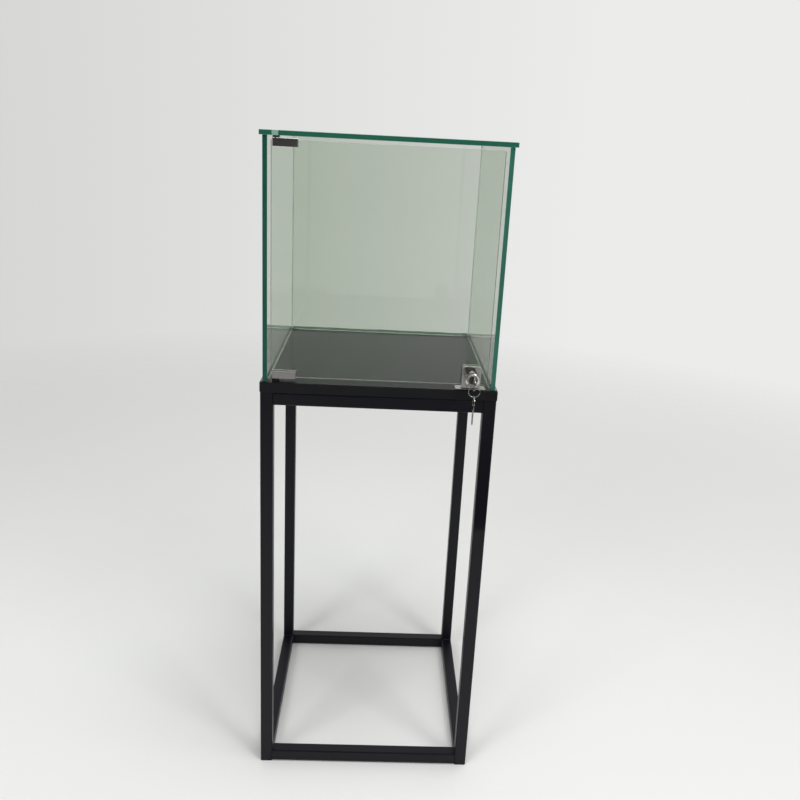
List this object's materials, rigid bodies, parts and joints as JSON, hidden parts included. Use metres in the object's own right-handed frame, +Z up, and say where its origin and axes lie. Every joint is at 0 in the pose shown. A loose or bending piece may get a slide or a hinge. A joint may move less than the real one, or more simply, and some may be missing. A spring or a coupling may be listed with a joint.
{
  "type": "glass display case on stand",
  "caption": "Square glass showcase with a pivot-hung, key-locked front door, on a black deck and a welded square-tube steel stand.",
  "frame": {"origin": "on the floor, under the middle of the square deck", "axes": "+X to the right seen from the door, +Y from the door to the back, +Z up"},
  "size_m": [0.4, 0.4588, 1.1706],
  "materials": {
    "black_steel": "satin black powder coat",
    "foot_plastic": "matt moulded",
    "deck_black": "semi-gloss black lacquer on fibreboard",
    "float_glass": "clear float glass with green polished edges",
    "clear_sealant": "translucent sealant",
    "chrome": "bright chrome plate",
    "liner_plastic": "soft translucent plastic",
    "bush_nylon": "black nylon",
    "plated_steel": "satin nickel plate",
    "screw_steel": "zinc plate",
    "wafer_brass": "stamped brass",
    "key_nickel": "nickel plate"
  },
  "bodies": {
    "stand": {"back_glass": "float_glass", "bottom_front_rail": "black_steel", "bottom_left_rail": "black_steel", "bottom_rear_rail": "black_steel", "bottom_right_rail": "black_steel", "deck_screws": "screw_steel", "display_deck": "deck_black", "front_left_deck_tab": "black_steel", "front_left_foot": "foot_plastic", "front_left_leg": "black_steel", "front_right_deck_tab": "black_steel", "front_right_foot": "foot_plastic", "front_right_leg": "black_steel", "left_glass": "float_glass", "left_sealant_bead": "clear_sealant", "lower_pivot_bush": "bush_nylon", "rear_left_deck_tab": "black_steel", "rear_left_foot": "foot_plastic", "rear_left_leg": "black_steel", "rear_right_deck_tab": "black_steel", "rear_right_foot": "foot_plastic", "rear_right_leg": "black_steel", "rear_sealant_bead": "clear_sealant", "right_glass": "float_glass", "right_sealant_bead": "clear_sealant", "strike_plate": "plated_steel", "strike_screws": "screw_steel", "top_front_rail": "black_steel", "top_glass": "float_glass", "top_left_rail": "black_steel", "top_rear_rail": "black_steel", "top_right_rail": "black_steel", "upper_pivot_bush": "bush_nylon"},
    "door": {"door_glass": "float_glass", "hinge_set_screws": "screw_steel", "lock_body": "chrome", "lock_cover": "plated_steel", "lock_liner": "liner_plastic", "lock_set_screws": "screw_steel", "lower_hinge_clip": "chrome", "lower_hinge_liner": "liner_plastic", "lower_pivot_pin": "plated_steel", "upper_hinge_clip": "chrome", "upper_hinge_liner": "liner_plastic", "upper_pivot_pin": "plated_steel"},
    "lock_plug": {"lock_plug": "chrome", "lock_wafers": "wafer_brass", "lock_cam": "plated_steel"},
    "lock_bolt": {"lock_bolt": "plated_steel"},
    "key": {"key": "key_nickel"},
    "key_ring": {"key_ring": "key_nickel"},
    "spare_key": {"spare_key": "key_nickel"}
  },
  "joints": [
    {"name": "door_swing", "type": "hinge", "parent": "stand", "child": "door", "pos_m": [-0.175, -0.184, 0.9659], "axis": [0, 0, -1], "range_deg": [0, 110]},
    {"name": "key_turn", "type": "hinge", "parent": "door", "child": "lock_plug", "pos_m": [0.1535, -0.206, 0.7915], "axis": [0, 1, 0], "range_deg": [0, 90]},
    {"name": "bolt_drop", "type": "slide", "parent": "door", "child": "lock_bolt", "axis": [0, 0, -1], "range_m": [0, 0.006]},
    {"name": "key_withdraw", "type": "slide", "parent": "lock_plug", "child": "key", "axis": [0, -1, 0], "range_m": [0, 0.022]},
    {"name": "ring_swing", "type": "hinge", "parent": "key", "child": "key_ring", "pos_m": [0.1535, -0.2473, 0.7906], "axis": [1, 0, 0], "range_deg": [-30, 25]},
    {"name": "spare_key_swing", "type": "hinge", "parent": "key_ring", "child": "spare_key", "pos_m": [0.1535, -0.2473, 0.7718], "axis": [1, 0, 0], "range_deg": [-20, 20]}
  ],
  "couplings": [
    {"joint": "bolt_drop", "follows": "key_turn", "m_per_rad": 0.0038197}
  ]
}
